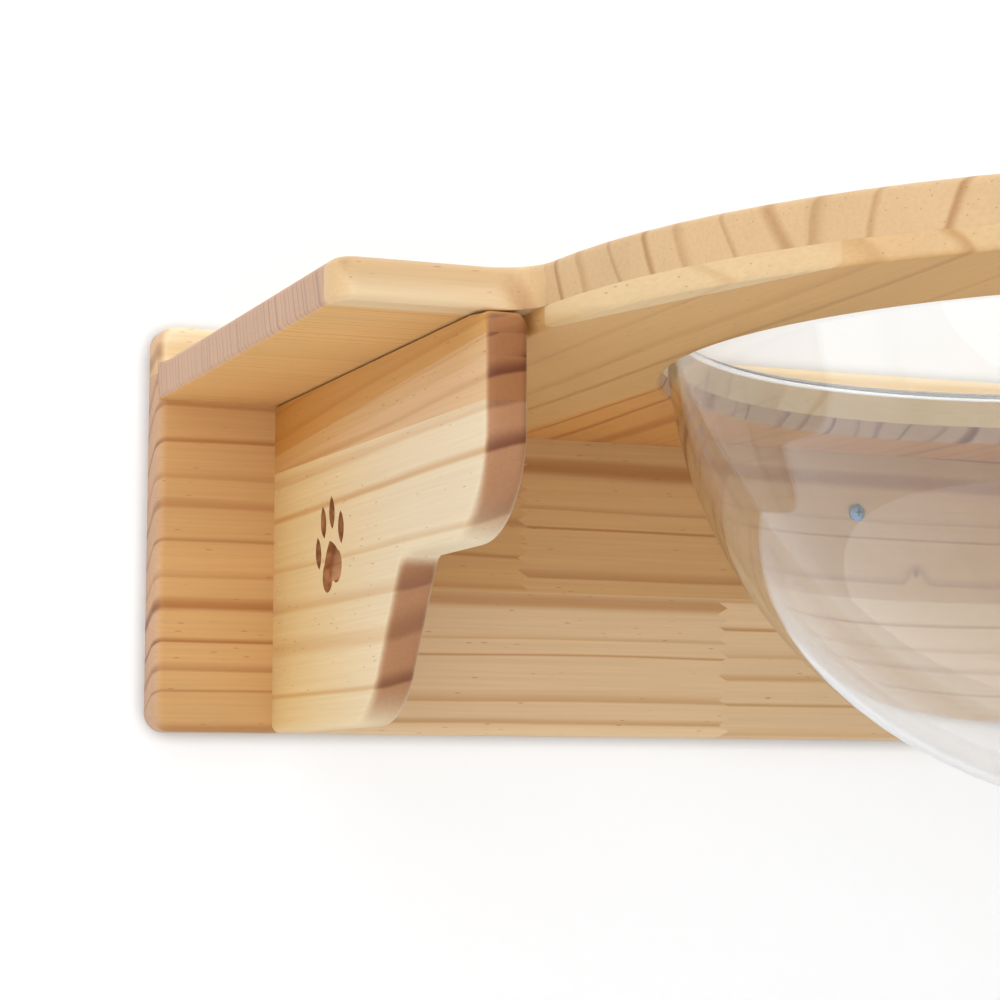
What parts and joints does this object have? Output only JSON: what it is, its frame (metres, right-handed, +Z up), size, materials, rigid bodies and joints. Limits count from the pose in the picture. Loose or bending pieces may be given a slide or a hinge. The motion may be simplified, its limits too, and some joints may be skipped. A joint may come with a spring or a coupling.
{
  "type": "cat wall shelf",
  "caption": "Wall shelf for a cat: pine shelf with a round bulge and a lift-out clear half-round bowl, carried by a back board and shaped brackets.",
  "frame": {"origin": "on the wall plane, at the middle wall screw: the middle of the shelf's width and the height of the line of wall screws", "axes": "+Y into the wall, -Y to the front, +Z up, +X to the right seen from the front"},
  "size_m": [0.64, 0.542, 0.199],
  "materials": {
    "pine_back": "finger-jointed pine panel, sanded and oiled",
    "pine_shelf": "solid pine, sanded and oiled, rounded edges",
    "pine_support": "solid pine, sanded and oiled",
    "pine_bracket": "solid pine, sanded and oiled, rounded edges",
    "clear_acrylic": "clear blow-formed acrylic, polished",
    "zinc_plated_steel": "bluish zinc plate",
    "beech_dowel": "plain beech"
  },
  "bodies": {
    "frame": {"back_board": "pine_back", "shelf_board": "pine_shelf", "bowl_support_board": "pine_support", "left_bracket": "pine_bracket", "right_bracket": "pine_bracket", "wall_screw_left": "zinc_plated_steel", "wall_screw_centre": "zinc_plated_steel", "wall_screw_right": "zinc_plated_steel", "left_bracket_screw_lower": "zinc_plated_steel", "left_bracket_screw_upper": "zinc_plated_steel", "right_bracket_screw_lower": "zinc_plated_steel", "right_bracket_screw_upper": "zinc_plated_steel", "shelf_screw_left": "zinc_plated_steel", "shelf_screw_centre": "zinc_plated_steel", "shelf_screw_right": "zinc_plated_steel", "left_bracket_dowel_rear": "beech_dowel", "left_bracket_dowel_front": "beech_dowel", "right_bracket_dowel_rear": "beech_dowel", "right_bracket_dowel_front": "beech_dowel", "shelf_dowel_left": "beech_dowel", "shelf_dowel_right": "beech_dowel"},
    "bowl": {"bowl": "clear_acrylic"}
  },
  "joints": [
    {"name": "bowl_lift", "type": "slide", "parent": "frame", "child": "bowl", "axis": [0, 0, 1], "range_m": [0, 0.2]}
  ]
}
